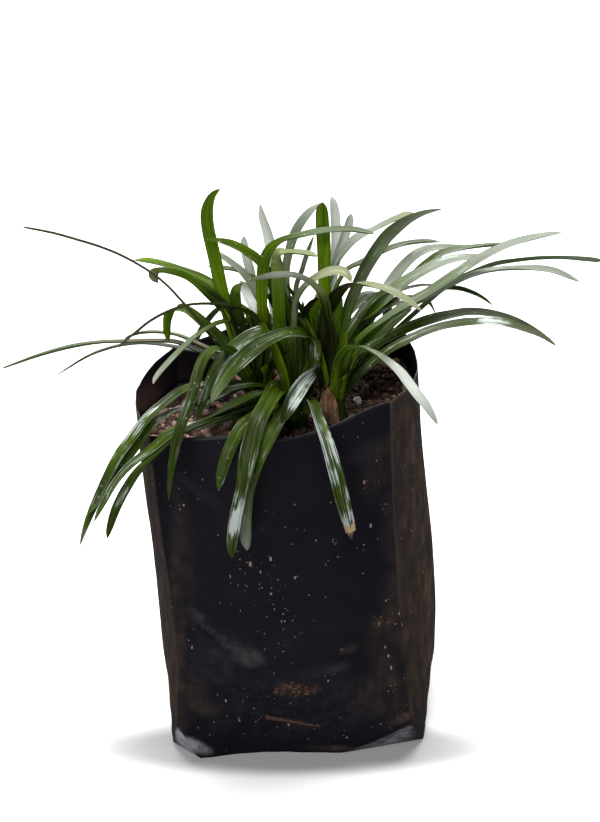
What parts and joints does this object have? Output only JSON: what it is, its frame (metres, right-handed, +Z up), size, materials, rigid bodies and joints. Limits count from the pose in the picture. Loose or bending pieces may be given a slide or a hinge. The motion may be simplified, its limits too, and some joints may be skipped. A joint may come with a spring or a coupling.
{
  "type": "potted dwarf mondo grass",
  "caption": "Clump of dark green strap-leaved dwarf mondo grass growing in an open black gusseted film nursery bag of gritty reddish-brown potting mix.",
  "frame": {"origin": "middle of the bag's flat base, on the ground", "axes": "+Z up, +Y towards the back of the bag, +X to the right of the face seen in the picture"},
  "size_m": [0.2452, 0.1647, 0.2252],
  "materials": {
    "black_film": "satin",
    "potting_mix": "matte",
    "perlite": "matte",
    "dry_leaf": "matte",
    "leaf": "satin"
  },
  "bodies": {
    "root": {"bag": "black_film", "soil": "potting_mix", "perlite_grain": "perlite", "dry_sheath": "dry_leaf", "tuft_right": "leaf", "tuft_front": "leaf", "tuft_left": "leaf", "tuft_back": "leaf"}
  },
  "joints": []
}
